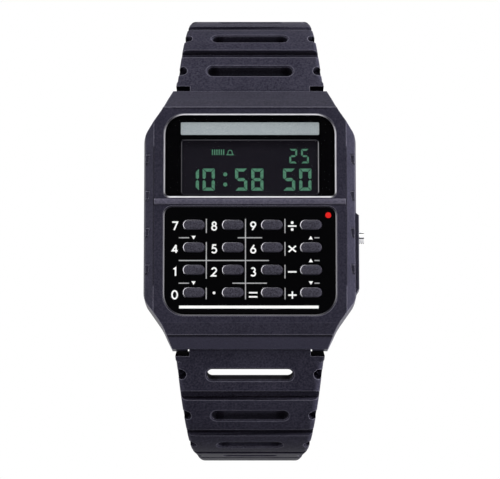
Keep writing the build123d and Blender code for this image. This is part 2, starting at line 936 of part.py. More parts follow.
parts = {
    "case_body": make_case(),
    "lens": make_lens(),
    "lens_mask": make_mask(),
    "trim_strip": make_trim(),
    "keypad_panel": make_panel(),
    "contact_sheet": make_contact_sheet(),
    "module_frame": make_module_frame(),
    "circuit_board": make_board(),
    "battery": make_battery(),
    "battery_clip": make_battery_clip(),
    "chip": make_chip(),
    "crystal": make_crystal(),
    "buzzer_disc": make_buzzer(),
    "lcd_glass": make_lcd(),
    "connector_strips": make_zebra_strips(),
    "back_gasket": make_gasket(),
    "case_back": make_case_back(),
    "case_screws": make_screws(),
    "mode_button": make_mode_button(),
    "button_clip": make_button_clip(),
    "button_seal": make_button_seal(),
    "spring_bar_12": make_spring_bar(),
    "spring_bar_6": half_turn(make_spring_bar()),
    "band_12": make_buckle_band(),
    "band_6": make_tip_band(),
    "buckle_bar": make_buckle_bar(),
    "buckle_frame": make_buckle_frame(),
    "buckle_tongue": make_tongue(),
    "keeper": make_keeper(),
}
key = make_key()
for key_name, (key_x, key_y) in key_places():
    parts[key_name] = Pos(key_x, key_y) * key

os.makedirs("parts", exist_ok=True)
for node, shape in parts.items():
    export_step(shape, f"parts/{node}.step")
    print(node, round(shape.volume, 3))
print("band runs", buckle_band_length, round(tip_band_length(), 3), "foot level", round(buckle_foot(), 3))
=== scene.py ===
import json
import math

import bmesh
import bpy
import numpy as np
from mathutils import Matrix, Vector


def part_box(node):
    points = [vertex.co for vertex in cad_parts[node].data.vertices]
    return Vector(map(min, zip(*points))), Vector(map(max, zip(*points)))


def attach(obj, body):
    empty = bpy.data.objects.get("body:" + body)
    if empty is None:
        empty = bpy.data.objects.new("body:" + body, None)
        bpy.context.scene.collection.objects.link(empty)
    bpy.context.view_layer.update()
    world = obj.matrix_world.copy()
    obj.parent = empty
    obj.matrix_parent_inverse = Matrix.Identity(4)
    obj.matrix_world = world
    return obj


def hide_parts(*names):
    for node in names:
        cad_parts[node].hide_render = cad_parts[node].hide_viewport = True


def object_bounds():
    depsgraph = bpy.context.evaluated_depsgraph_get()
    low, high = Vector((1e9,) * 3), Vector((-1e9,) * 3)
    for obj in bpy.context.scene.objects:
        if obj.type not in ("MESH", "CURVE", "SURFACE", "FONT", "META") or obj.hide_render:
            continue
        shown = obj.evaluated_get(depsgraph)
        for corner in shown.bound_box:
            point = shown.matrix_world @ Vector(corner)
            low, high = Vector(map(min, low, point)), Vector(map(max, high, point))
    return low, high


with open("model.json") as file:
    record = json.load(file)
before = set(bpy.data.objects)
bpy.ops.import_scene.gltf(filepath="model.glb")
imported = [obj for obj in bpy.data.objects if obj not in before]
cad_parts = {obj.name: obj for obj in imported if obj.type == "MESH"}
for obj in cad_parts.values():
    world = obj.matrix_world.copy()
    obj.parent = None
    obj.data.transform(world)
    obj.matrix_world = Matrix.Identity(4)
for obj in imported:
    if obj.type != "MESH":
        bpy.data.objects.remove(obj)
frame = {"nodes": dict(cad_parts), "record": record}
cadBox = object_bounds()
nodes = frame["nodes"]
mm = 0.001
print("frame loaded:", len(nodes), "nodes")


# Wire wraps a shader socket, so that sums on it are written as plain expressions
class Wire:
    def __init__(self, finish, socket):
        self.finish, self.socket = finish, socket

    def math(self, operation, first, second):
        return self.finish.node("ShaderNodeMath", {"operation": operation}, {0: first, 1: second})

    def __add__(self, other):
        return self.math("ADD", self, other)

    def __sub__(self, other):
        return self.math("SUBTRACT", self, other)

    def __rsub__(self, other):
        return self.math("SUBTRACT", other, self)

    def __mul__(self, other):
        return self.math("MULTIPLY", self, other)

    __radd__ = __add__
    __rmul__ = __mul__


# How strongly soft edges and the painted shade of hollows show in a finish, and how many rays look for them
shading = {"samples": 6, "edgeGain": 4, "openShare": 0.9, "hollowGain": 2.8}


# Finish is one material; node() adds any node: settings first, then the values or links of its sockets
class Finish:
    def __init__(self, name):
        self.material = bpy.data.materials.new(name)
        self.material.use_nodes = True
        self.tree = self.material.node_tree
        self.tree.nodes.clear()

    @classmethod
    def of(cls, tree):
        # The same methods on a node tree that is there already, as the world's is
        made = cls.__new__(cls)
        made.tree = tree
        made.tree.nodes.clear()
        return made

    def node(self, kind, settings=None, values=None, output=0):
        made = self.tree.nodes.new(kind)
        for key, value in (settings or {}).items():
            if key == "stops":
                for stop, (place, shade) in zip(made.color_ramp.elements, value):
                    stop.position = place
                    stop.color = (*shade, 1)
            else:
                setattr(made, key, value)
        for key, value in (values or {}).items():
            if isinstance(value, Wire):
                self.tree.links.new(value.socket, made.inputs[key])
            else:
                made.inputs[key].default_value = value
        return Wire(self, made.outputs[output]) if made.outputs else None

    def place(self):
        # Object coordinates in metres
        return self.node("ShaderNodeTexCoord", output=3)

    def axis(self, index, vector=None):
        # One coordinate of a vector: 0 for x, 1 for y, 2 for z
        vector = self.place() if vector is None else vector
        return self.node("ShaderNodeSeparateXYZ", values={0: vector}, output=index)

    def absolute(self, value):
        return self.node("ShaderNodeMath", {"operation": "ABSOLUTE"}, {0: value})

    def noise(self, size, detail=2.0, roughness=0.5):
        # Soft random pattern from 0 to 1 with spots of about the given size
        values = {"Vector": self.place(), "Scale": 1 / size, "Detail": detail, "Roughness": roughness}
        return self.node("ShaderNodeTexNoise", values=values)

    def mix(self, factor, first, second):
        values = {0: factor, 6: colour(first), 7: colour(second)}
        return self.node("ShaderNodeMix", {"data_type": "RGBA"}, values, output=2)

    def clamp(self, value):
        return self.node("ShaderNodeClamp", values={"Value": value})

    def follow(self, pattern, gain, base):
        # A value that follows a pattern: the pattern times a gain, plus a base, kept from 0 to 1
        return self.clamp(pattern * gain + base)

    def contrast(self, pattern, dark, gain):
        # 0 up to the pattern's dark level, and rising by the gain from there to 1
        return self.clamp((pattern - dark) * gain)

    def edges(self, radius):
        # Soft edges: the normal averaged within a radius, and how far it leans from the flat one
        soft = self.node("ShaderNodeBevel", {"samples": shading["samples"]}, {"Radius": radius})
        flat = self.node("ShaderNodeNewGeometry", output=1)
        same = self.node("ShaderNodeVectorMath", {"operation": "DOT_PRODUCT"}, {0: soft, 1: flat}, output=1)
        return soft, self.clamp((1 - same) * shading["edgeGain"])

    def hollowShade(self, depth):
        # How deep in a groove, hole or corner a point lies, from 0 in the open to 1; the share of painted
        # shade there
        settings = {"samples": shading["samples"]}
        around = self.node("ShaderNodeAmbientOcclusion", settings, {"Distance": depth}, output=1)
        return self.clamp((shading["openShare"] - around) * shading["hollowGain"])

    def bump(self, height, strength, distance, normal=None):
        values = {"Height": height, "Strength": strength, "Distance": distance}
        if normal is not None:
            values["Normal"] = normal
        return self.node("ShaderNodeBump", values=values)

    def surface(self, values):
        return self.node("ShaderNodeBsdfPrincipled", values=values)

    def done(self, shader):
        self.node("ShaderNodeOutputMaterial", values={"Surface": shader})
        return self.material


def colour(value):
    # A screen colour from 0 to 255 as the linear one that a socket takes, by the standard screen curve
    if isinstance(value, Wire):
        return value
    share = np.array(value, float) / 255
    linear = np.where(share <= 0.04045, share / 12.92, ((share + 0.055) / 1.055) ** 2.4)
    return (*linear.tolist(), 1.0)


# In the finishes below a noise is given as size, detail and roughness, and a bump as strength and height;
# a value that follows a noise is given as gain and base, and a contrast as dark level and gain
noiseMean = 0.5

# Case and band: moulded resin, nearly black with a cool cast, fine grain, edges lighter by wear and painted
# highlight, and painted shade in the hollows
resin = {
    "case": {
        "colour": (29, 28, 39), "rubbed": (63, 61, 75),
        "roughness": 0.4, "gloss": 0.06, "depth": 0.5 * mm,
    },
    # Ridge between the windows: a lighter copy of the case resin, a painted highlight along it
    "ridge": {
        "colour": (60, 58, 72), "rubbed": (112, 109, 122),
        "roughness": 0.35, "gloss": 0.06, "depth": 0.5 * mm,
    },
    "band": {
        "colour": (31, 30, 41), "rubbed": (76, 74, 88),
        "roughness": 0.5, "gloss": 0.025, "depth": 2.2 * mm,
    },
    "grain": (0.3 * mm, 4, 0.7),
    "mottle": (7 * mm, 4, 0.6),
    "wear": {"even": 0.2, "grain": 1.5, "mottle": 0.4},
    "roughen": {"grain": 0.24, "mottle": 0.16, "ridge": -0.14},
    "bump": (0.5, 0.02 * mm),
    "edgeRadius": 0.2 * mm,
    "edgeGain": 2.2,
    "edgeStop": 3,  # how soon the painted shade of a hollow ends the lighter edges of wear and painted highlight
    # Edge colour: wear and a painted highlight along the convex edges
    "edgeWearAndSheen": (124, 122, 136),
    # Painted shade: the near-black matt look laid down in hollows
    "hollowShade": {"colour": (5, 4, 8), "roughness": 0.8, "gloss": 0.01},
}
# Painted shade lines round the case's face, along its steps and edges: level and half length of each, then
# how they fade and how dark
faceShadeLine = {
    "north": (17.55 * mm, 12.6 * mm),
    "south": (-19.22 * mm, 13.2 * mm),
    "side": (15.4 * mm, 11.5 * mm),
    "halfWidth": 0.07 * mm,
    "core": 1.6,
    "endFade": 0.4 * mm,
    "tone": 0.8,
}
# Painted light on the end wall of the case at 6 o'clock, which is lighter in colour: where it starts below
# the south line, its fade, share and colour
southWallLight = {"offset": 0.1 * mm, "fade": 0.2 * mm, "share": 0.32, "colour": (78, 76, 96)}


def faceShadeLines(finish):
    # Dark share of the painted shade lines: 1 along each level, falling off across it and past its ends
    x, y = finish.absolute(finish.axis(0)), finish.axis(1)
    dark = 0
    for along, across, edge in ((x, y, "north"), (x, y, "south"), (y, x, "side")):
        level, reach = faceShadeLine[edge]
        away = finish.absolute(across - level) * (1 / faceShadeLine["halfWidth"])
        inside = (reach - finish.absolute(along)) * (1 / faceShadeLine["endFade"])
        dark = finish.clamp(faceShadeLine["core"] - away) * finish.clamp(inside) + dark
    # Share of painted light on the end wall below the south line
    wallLight = (faceShadeLine["south"][0] - southWallLight["offset"] - y) * (1 / southWallLight["fade"])
    return finish.clamp(dark * faceShadeLine["tone"]), finish.clamp(wallLight) * southWallLight["share"]


def makeResin(kind, withShadeLines=False):
    # Satin skin, rubbed lighter by grain, lighter along its edges by wear and painted highlight, and a matt
    # dark one down in the hollows as painted shade
    own, wear, roughen, shadeLook = resin[kind], resin["wear"], resin["roughen"], resin["hollowShade"]
    finish = Finish(kind + "Resin")
    grain = finish.noise(*resin["grain"])
    mottle = finish.noise(*resin["mottle"])
    soft, edge = finish.edges(resin["edgeRadius"])
    # Share of painted shade in grooves, holes and corners
    dark = finish.hollowShade(own["depth"])
    # Convex edges outside the painted-shade hollows, lighter by wear and painted highlight
    ridge = edge * (1 - finish.clamp(dark * resin["edgeStop"]))
    wide, fine = mottle - noiseMean, grain - noiseMean
    worn = finish.clamp(wide * wear["mottle"] + fine * wear["grain"] + wear["even"])
    skin = finish.mix(worn, own["colour"], own["rubbed"])
    skin = finish.mix(finish.clamp(ridge * resin["edgeGain"]), skin, resin["edgeWearAndSheen"])
    if withShadeLines:
        lines, wallLight = faceShadeLines(finish)
        # Painted light on the case's south end wall
        skin = finish.mix(wallLight, skin, southWallLight["colour"])
        # The painted shade lines join the painted shade of the hollows
        dark = finish.clamp(dark + lines)
    spread = wide * roughen["mottle"] + fine * roughen["grain"] + ridge * roughen["ridge"]
    satin = finish.surface({
        "Base Color": skin,
        "Roughness": finish.clamp(spread + own["roughness"]),
        "Normal": finish.bump(grain, *resin["bump"], soft),
        "Specular IOR Level": own["gloss"],
    })
    # Painted shade: near black and matt where the hollow share is high
    shadeSurface = finish.surface({
        "Base Color": colour(shadeLook["colour"]),
        "Roughness": shadeLook["roughness"],
        "Specular IOR Level": shadeLook["gloss"],
    })
    return finish.done(finish.node("ShaderNodeMixShader", values={0: dark, 1: satin, 2: shadeSurface}))


# Lens: clear plastic, which keeps only a share of what it would mirror
lens = {
    "colour": (4, 4, 6),
    "index": 1.45,
    "mirrorShare": 0.2,
    "haze": (0.9 * mm, 3),
    "roughness": (0.05, 0.01),
    "gloss": 0.5,
}


def makeLens():
    # What is behind shows through, and only the outer side adds some gloss by angle
    finish = Finish("clearLens")
    haze = finish.noise(*lens["haze"])
    inner = finish.node("ShaderNodeNewGeometry", output=6)
    mirror = finish.node("ShaderNodeFresnel", values={"IOR": lens["index"]})
    return finish.done(finish.surface({
        "Base Color": colour(lens["colour"]),
        "Roughness": finish.follow(haze, *lens["roughness"]),
        "Specular IOR Level": lens["gloss"],
        "Alpha": finish.clamp(mirror * lens["mirrorShare"] * (1 - inner)),
    }))


# Panel and film under the lens: glossy black with faint dust, a little lighter along its edges by painted
# sheen and wear
panel = {
    "colour": (3, 3, 4),
    "edgeWearAndSheen": (20, 19, 25),
    "dust": (0.5 * mm, 4),
    "edgeRadius": 0.1 * mm,
    "lighter": {"edge": 0.5, "dust": 0.25},
    "roughness": (0.1, 0.16),
    "bump": (0.1, 0.004 * mm),
    "gloss": 0.01,
}


def makeBlackPanel():
    finish = Finish("blackPanel")
    dust = finish.noise(*panel["dust"])
    soft, edge = finish.edges(panel["edgeRadius"])
    # Lighter along the edges by painted sheen and wear, and by dust
    lighter = edge * panel["lighter"]["edge"] + (dust - noiseMean) * panel["lighter"]["dust"]
    return finish.done(finish.surface({
        "Base Color": finish.mix(finish.clamp(lighter), panel["colour"], panel["edgeWearAndSheen"]),
        "Roughness": finish.follow(dust, *panel["roughness"]),
        "Normal": finish.bump(dust, *panel["bump"], soft),
        "Specular IOR Level": panel["gloss"],
    }))


# Silver strip: fine speckle between two greys, each at its own level of the noise
silver = {
    "greys": ((0.32, (130, 139, 142)), (0.68, (164, 172, 175))),
    "speck": (0.13 * mm, 2, 0.7),
    "metal": 0.25,
    "roughness": (0.25, 0.4),
    "bump": (0.3, 0.01 * mm),
}


def makeSilver():
    finish = Finish("silverFilm")
    speck = finish.noise(*silver["speck"])
    stops = [(place, colour(grey)[:3]) for place, grey in silver["greys"]]
    return finish.done(finish.surface({
        "Base Color": finish.node("ShaderNodeValToRGB", {"stops": stops}, {"Fac": speck}),
        "Metallic": silver["metal"],
        "Roughness": finish.follow(speck, *silver["roughness"]),
        "Normal": finish.bump(speck, *silver["bump"]),
    }))


# Display glass: dark, a fine film over wide, barely lighter clouds
glass = {
    "colour": (18, 17, 23),
    "cloudColour": (26, 24, 31),
    "film": (0.25 * mm, 2),
    "cloud": (9 * mm, 2),
    "lighter": {"cloud": 0.6, "film": 0.3},
    "roughness": (0.2, 0.3),
    "gloss": 0.03,
}


def makeDisplayGlass():
    finish = Finish("displayGlass")
    film = finish.noise(*glass["film"])
    cloud = finish.noise(*glass["cloud"])
    lighter = cloud * glass["lighter"]["cloud"] + film * glass["lighter"]["film"]
    return finish.done(finish.surface({
        "Base Color": finish.mix(finish.clamp(lighter), glass["colour"], glass["cloudColour"]),
        "Roughness": finish.follow(film, *glass["roughness"]),
        "Specular IOR Level": glass["gloss"],
    }))


# Printed inks: two close tones and the size of their spots, then what all inks share
ink = {
    "digit": ((96, 150, 122), (66, 112, 90), 0.35 * mm),
    "white": ((248, 248, 247), (236, 236, 235), 0.2 * mm),
    "thin": ((178, 178, 180), (150, 150, 152), 0.2 * mm),
    "red": ((226, 38, 34), (196, 26, 24), 0.2 * mm),
    "spots": (3, 0.6),
    "contrast": (0.35, 2.5),
    "roughness": (0.3, 0.35),
    "gloss": 0.1,
}


def makeInk(kind):
    base, dark, spot = ink[kind]
    finish = Finish(kind + "Ink")
    spread = finish.noise(spot, *ink["spots"])
    return finish.done(finish.surface({
        "Base Color": finish.mix(finish.contrast(spread, *ink["contrast"]), dark, base),
        "Roughness": finish.follow(spread, *ink["roughness"]),
        "Specular IOR Level": ink["gloss"],
    }))


# Painted highlight on the edge of a window: bright by the share that its mesh carries, a little uneven
rimHighlight = {
    "bright": (246, 244, 250),
    "dim": (30, 29, 36),
    "mottle": (1.4 * mm, 3),
    "uneven": (0.3, 0.85),
    "roughness": 0.3,
    "gloss": 0.1,
}


def makeRimHighlight():
    finish = Finish("rimHighlightFinish")
    share = finish.node("ShaderNodeAttribute", {"attribute_name": "shine"}, output=2)
    spread = finish.noise(*rimHighlight["mottle"])
    gain, base = rimHighlight["uneven"]
    bright = finish.clamp(share * (spread * gain + base))
    return finish.done(finish.surface({
        "Base Color": finish.mix(bright, rimHighlight["dim"], rimHighlight["bright"]),
        "Roughness": rimHighlight["roughness"],
        "Specular IOR Level": rimHighlight["gloss"],
    }))


# Keys: grained rubber with a painted highlight, a bright crescent, on the side that leans to the upper left
keys = {
    "colour": (27, 26, 35),
    "light": (74, 72, 83),
    "crescentHighlight": (245, 243, 250),
    "crescentWay": (-0.9, 0.3, -0.3),
    "crescentEdge": (4, -0.3),
    "grain": (0.2 * mm, 3, 0.75),
    "contrast": (0.38, 3),
    "roughness": (0.3, 0.24),
    "bump": (0.5, 0.02 * mm),
    "gloss": 0.12,
    "length": 3.42 * mm,
    "breadth": 1.56 * mm,
    "edge": 0.24 * mm,
    "crownPower": 2.8,
    "crownShares": ((0, 0.3, 8), (0.4, 0.96, 8)),
    "smoothAngle": 50,
    "flange": (4.3 * mm, 2.2 * mm, 0.4 * mm),
    "rows": (
        ("7", "8", "9", "divide"),
        ("4", "5", "6", "multiply"),
        ("1", "2", "3", "minus"),
        ("0", "point", "equals", "plus"),
    ),
}


def makeKeyRubber():
    finish = Finish("keyRubber")
    grain = finish.noise(*keys["grain"])
    flat = finish.node("ShaderNodeNewGeometry", output=1)
    dot = {"operation": "DOT_PRODUCT"}
    # How far the surface leans to the upper left, where the crescent is a painted highlight
    leaning = finish.node("ShaderNodeVectorMath", dot, {0: flat, 1: keys["crescentWay"]}, output=1)
    rubber = finish.mix(finish.contrast(grain, *keys["contrast"]), keys["colour"], keys["light"])
    return finish.done(finish.surface({
        "Base Color": finish.mix(finish.follow(leaning, *keys["crescentEdge"]), rubber, keys["crescentHighlight"]),
        "Roughness": finish.follow(grain, *keys["roughness"]),
        "Normal": finish.bump(grain, *keys["bump"]),
        "Specular IOR Level": keys["gloss"],
    }))


# Pieces inside the case: two tones, size of the grain, roughness and share of metal
inner = {
    "innerRubber": ((34, 34, 36), (22, 22, 24), 0.4 * mm, 0.7, 0.0),
    "modulePlastic": ((52, 52, 55), (36, 36, 40), 0.6 * mm, 0.55, 0.0),
    "circuitBoard": ((34, 96, 58), (20, 66, 40), 0.5 * mm, 0.45, 0.0),
    "buzzerBrass": ((196, 160, 90), (160, 124, 66), 0.7 * mm, 0.3, 1.0),
}
innerGrain = {"detail": 3, "contrast": (0.3, 2), "roughen": 0.2, "bump": (0.2, 0.01 * mm)}


def makeInner(name):
    base, dark, grainSize, roughness, metal = inner[name]
    finish = Finish(name)
    grain = finish.noise(grainSize, innerGrain["detail"])
    return finish.done(finish.surface({
        "Base Color": finish.mix(finish.contrast(grain, *innerGrain["contrast"]), dark, base),
        "Roughness": finish.follow(grain - noiseMean, innerGrain["roughen"], roughness),
        "Metallic": metal,
        "Normal": finish.bump(grain, *innerGrain["bump"]),
    }))


# Brushed steel: back, screws, buckle, bars and the metal inside. Mode button: polished, near white with dark
# stripes, both painted reflections of its surroundings
steel = {
    "dark": (156, 156, 161),
    "light": (218, 218, 221),
    "line": 0.09 * mm,
    "stretch": 0.02,
    "lineDetail": 2.0,
    "patch": (5 * mm, 2),
    "edge": 0.12 * mm,
    "lighter": {"line": 0.7, "edge": 0.3},
    "roughness": {"line": 0.16, "patch": 0.12, "base": 0.2},
    "bump": (0.15, 0.004 * mm),
}
# Mode button: a near-white base and dark stripes painted as the reflections of a polished cylinder
button = {
    "stripeY": -3.2 * mm,
    "stripePitch": 0.77 * mm,
    "stripeEdge": (4, -2.2),
    "bump": (0.3, 0.03 * mm),
    "grain": (0.1 * mm, 2),
    "colour": (250, 250, 252),
    "stripeReflectionColour": (10, 10, 13),
    "metal": 0.5,
    "roughness": (0.2, 0.3),
}


def makeSteel():
    # Noise stretched along the object's X
    lighter, rough = steel["lighter"], steel["roughness"]
    finish = Finish("brushedSteel")
    values = {"Vector": finish.place(), "Scale": (steel["stretch"], 1, 1)}
    brushed = finish.node("ShaderNodeMapping", values=values)
    values = {"Vector": brushed, "Scale": 1 / steel["line"], "Detail": steel["lineDetail"]}
    lines = finish.node("ShaderNodeTexNoise", values=values)
    patch = finish.noise(*steel["patch"])
    soft, edge = finish.edges(steel["edge"])
    bright = finish.clamp(lines * lighter["line"] + edge * lighter["edge"])
    return finish.done(finish.surface({
        "Base Color": finish.mix(bright, steel["dark"], steel["light"]),
        "Metallic": 1.0,
        "Roughness": finish.clamp(lines * rough["line"] + patch * rough["patch"] + rough["base"]),
        "Normal": finish.bump(lines, *steel["bump"], soft),
    }))


def makeButtonSteel():
    # A cosine across the object's Y makes the dark stripes of painted reflection, which run along X, and a
    # matching bump
    finish = Finish("stripeReflectionSteel")
    turn = (finish.axis(1) - button["stripeY"]) * (2 * math.pi / button["stripePitch"])
    wave = finish.node("ShaderNodeMath", {"operation": "COSINE"}, {0: turn})
    speck = finish.noise(*button["grain"])
    darkReflection = finish.follow(wave, *button["stripeEdge"])
    return finish.done(finish.surface({
        "Base Color": finish.mix(darkReflection, button["colour"], button["stripeReflectionColour"]),
        "Metallic": button["metal"],
        "Roughness": finish.follow(speck, *button["roughness"]),
        "Normal": finish.bump(wave, *button["bump"]),
    }))


materials = {
    "case_resin": makeResin("case", withShadeLines=True),
    "ridge_resin": makeResin("ridge"),
    "band_resin": makeResin("band"),
    "lens": makeLens(),
    "panel_black": makeBlackPanel(),
    "trim_silver": makeSilver(),
    "key_rubber": makeKeyRubber(),
    "rubber_black": makeInner("innerRubber"),
    "module_plastic": makeInner("modulePlastic"),
    "board_green": makeInner("circuitBoard"),
    "lcd": makeDisplayGlass(),
    "brass": makeInner("buzzerBrass"),
    "steel": makeSteel(),
}
for part in frame["record"]["subparts"]:
    mesh = nodes[part["node"]].data
    mesh.materials.clear()
    mesh.materials.append(materials[part["material_slot"]])
buttonMesh = nodes["mode_button"].data
buttonMesh.materials.clear()
buttonMesh.materials.append(makeButtonSteel())
print("finishes:", len(materials))


def addPiece(name, points, faces, material, slot, body="case"):
    # A new visible piece from points and faces, moving with one body
    mesh = bpy.data.meshes.new(name)
    mesh.from_pydata([tuple(p) for p in np.asarray(points, float)], [], [tuple(f) for f in faces])
    mesh.materials.append(material)
    piece = bpy.data.objects.new(name, mesh)
    bpy.context.scene.collection.objects.link(piece)
    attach(piece, body)
    return piece


def prisms(outlines, low, high):
    # Each closed outline, counter-clockwise, stands between two levels as its own closed prism
    points, faces, start = [], [], 0
    for outline in outlines:
        flat = np.asarray(outline, float)
        count = len(flat)
        points.append(np.column_stack([flat, np.full(count, low)]))
        points.append(np.column_stack([flat, np.full(count, high)]))
        ring = np.arange(count)
        following = np.roll(ring, -1)
        sides = np.column_stack([ring, following, following + count, ring + count]) + start
        faces.append(list(ring[::-1] + start))
        faces.append(list(ring + count + start))
        faces.extend(sides.tolist())
        start += 2 * count
    return np.concatenate(points), faces


def bar(x0, y0, x1, y1):
    # Rectangle between two corners, counter-clockwise
    return [(x0, y0), (x1, y0), (x1, y1), (x0, y1)]


def disc(x, y, radius, count=32):
    # Points at even turns round a circle
    turn = np.linspace(0, 2 * np.pi, count, endpoint=False)
    return np.column_stack([x + radius * np.cos(turn), y + radius * np.sin(turn)])


def roundedRing(width, south, north, lowRadius, highRadius, steps=10):
    # Rectangle with rounded corners as one loop of points and outward directions
    corners = [
        (width / 2, north, highRadius, 0), (-width / 2, north, highRadius, 90),
        (-width / 2, south, lowRadius, 180), (width / 2, south, lowRadius, 270),
    ]
    points, outward = [], []
    for x, y, radius, start in corners:
        turn = np.radians(np.linspace(start, start + 90, steps))
        way = np.column_stack([np.cos(turn), np.sin(turn)])
        middle = np.array([x - math.copysign(radius, x), y - radius if y == north else y + radius])
        points.append(middle + radius * way)
        outward.append(way)
    return np.concatenate(points), np.concatenate(outward)


def loopSurface(loops):
    # Closed tube through several matching loops of points, joined in order and back to the first
    count, rings = len(loops[0]), len(loops)
    index = np.arange(rings * count).reshape(rings, count)
    nextRing = np.roll(index, -1, axis=0)
    nextPoint = np.roll(index, -1, axis=1)
    both = np.roll(nextRing, -1, axis=1)
    faces = np.stack([index, nextPoint, both, nextRing], axis=-1).reshape(-1, 4)
    return np.concatenate(loops), faces.tolist()


def stacked(loops):
    # Closed solid through matching loops of points, from the first to the last
    count = len(loops[0])
    index = np.arange(len(loops) * count).reshape(len(loops), count)
    following = np.roll(index, -1, axis=1)
    faces = np.stack([index[:-1], following[:-1], following[1:], index[1:]], axis=-1).reshape(-1, 4).tolist()
    return np.concatenate(loops), faces + [index[0][::-1].tolist(), index[-1].tolist()]


# Band halves, in millimetres and degrees: the solids with their long edges rounded, cut by a swept outline
band = {
    "barPlace": (19.9, 3.1),
    "startAngle": 24.0,
    "straight": 7.0,
    "bendRadius": 14.3,
    "bendAngle": 88.0,
    "sweepRadius": 130.0,
    "thickness": 2.8,
    "rootWidth": 24.2,
    "waist": (28.0, 17.8),
    "endWidth": 16.408,
    "innerRadius": 0.6,
    "weld": 0.0005,
    "smoothAngle": 16,
    "halves": {
        "band_12": {"side": 1, "length": 66.0, "outerRadius": 0.8, "knuckle": 1.7},
        "band_6": {"side": -1, "length": 75.866, "outerRadius": 1.15, "knuckle": 0.0},
    },
}
# The cutting sweep: its run past both ends, its clearance, how it widens round the knuckles, and how closely
# a face has to lie along it to take its normals
sweep = {
    "past": 2.5,
    "clearance": 0.004,
    "neck": 2.0,
    "neckFade": 0.8,
    "knuckleFade": 0.4,
    "fullOut": 0.4,
    "fullAcross": 0.2,
    "leastRadius": 0.02,
    "steps": 170,
    "cornerSteps": 9,
    "fineSteps": 1500,
    "lengthwise": 0.93,
}


def bandPath(run):
    # Middle line of the band from the side: straight, a tight arc, then a wide one.
    # Gives the place and the heading at each run, which is the length along the band from its bar.
    angle = np.full(len(run), math.radians(band["startAngle"]))
    bend = band["bendRadius"] * math.radians(band["bendAngle"] - band["startAngle"])
    straight = np.minimum(run, band["straight"])
    y = band["barPlace"][0] + straight * np.cos(angle)
    z = band["barPlace"][1] - straight * np.sin(angle)
    rest = run - band["straight"]
    arcs = (band["bendRadius"], np.clip(rest, 0, bend)), (band["sweepRadius"], np.maximum(rest - bend, 0))
    for radius, arc in arcs:
        after = angle + arc / radius
        y = y + radius * (np.sin(after) - np.sin(angle))
        z = z - radius * (np.cos(angle) - np.cos(after))
        angle = after
    return y, z, angle


def bandWidth(run, length):
    # Width of the band at each run, straight between root, waist and end
    waistRun, waistWidth = band["waist"]
    return np.interp(run, [0, waistRun, length], [band["rootWidth"], waistWidth, band["endWidth"]])


def bandEnvelope(half):
    # Closed sweep of a rounded rectangle along the band, left full where the knuckles are
    side, length, knuckle = half["side"], half["length"], half["knuckle"]
    run = np.linspace(-sweep["past"], length + sweep["past"], sweep["steps"])
    y, z, angle = bandPath(run)
    width = bandWidth(run, length)
    full = np.clip(1 - (run - sweep["neck"]) / sweep["neckFade"], 0, 1)
    if knuckle:
        full = np.maximum(full, np.clip((run - length + knuckle) / sweep["knuckleFade"], 0, 1))
    wide = width / 2 + sweep["clearance"] + full * sweep["fullAcross"]
    thick = band["thickness"] / 2 + sweep["clearance"] + full * sweep["fullOut"]
    outer, inner = half["outerRadius"], band["innerRadius"]
    loops = []
    corners = ((1, 1, outer, 0), (-1, 1, outer, 90), (-1, -1, inner, 180), (1, -1, inner, 270))
    for sx, sz, radius, start in corners:
        corner = radius * (1 - full) + sweep["leastRadius"]
        for turn in np.radians(np.linspace(start, start + 90, sweep["cornerSteps"])):
            x = sx * (wide - corner) + corner * math.cos(turn)
            out = sz * (thick - corner) + corner * math.sin(turn)
            loops.append(np.column_stack([x, side * (y + out * np.sin(angle)), z + out * np.cos(angle)]))
    points, faces = stacked(np.stack(loops, axis=1))
    if side > 0:
        faces = [face[::-1] for face in faces]
    return points * mm, faces


def plainObject(name, data):
    # A mesh, lamp or camera put into the scene as it is
    made = bpy.data.objects.new(name, data)
    bpy.context.scene.collection.objects.link(made)
    return made


def readField(items, field, width, kind=float):
    # One field of all vertices, corners or faces of a mesh as an array
    values = np.empty(len(items) * width, kind)
    items.foreach_get(field, values)
    return values.reshape(-1, width) if width > 1 else values


def evenNormals(mesh, half):
    # Corner normals follow the true sweep wherever a face lies along it, so that its facets don't show
    side, length = half["side"], half["length"]
    points = readField(mesh.vertices, "co", 3) / mm
    run = np.linspace(-sweep["past"], length + sweep["past"], sweep["fineSteps"])
    y, z, angle = bandPath(run)
    near = np.argmin((points[:, 1:2] * side - y) ** 2 + (points[:, 2:] - z) ** 2, axis=1)
    run, angle = run[near], angle[near]
    out = (points[:, 1] * side - y[near]) * np.sin(angle) + (points[:, 2] - z[near]) * np.cos(angle)
    radius = np.where(out > 0, half["outerRadius"], band["innerRadius"])
    beside = np.abs(points[:, 0]) - bandWidth(run, length) / 2 + radius
    above = np.abs(out) - band["thickness"] / 2 + radius
    corner = (beside > 0) & (above > 0)
    way = np.where(corner, np.arctan2(above, beside), np.where(above >= beside, np.pi / 2, 0))
    across, up = np.sign(points[:, 0]) * np.cos(way), np.sign(out) * np.sin(way)
    true = np.column_stack([across, side * up * np.sin(angle), up * np.cos(angle)])
    true = true[readField(mesh.loops, "vertex_index", 1, np.int32)]
    own = readField(mesh.corner_normals, "vector", 3)
    corners = readField(mesh.polygons, "loop_total", 1, np.int32)
    flat = np.repeat(readField(mesh.polygons, "normal", 3), corners, axis=0)
    along = np.sum(flat * true, axis=1) > sweep["lengthwise"]
    mesh.normals_split_custom_set(np.where(along[:, None], true, own).tolist())


def smooth(mesh, degrees):
    # Smooth shading, with edges sharper than the angle left sharp
    mesh.polygons.foreach_set("use_smooth", np.ones(len(mesh.polygons), bool))
    mesh.set_sharp_from_angle(angle=math.radians(degrees))


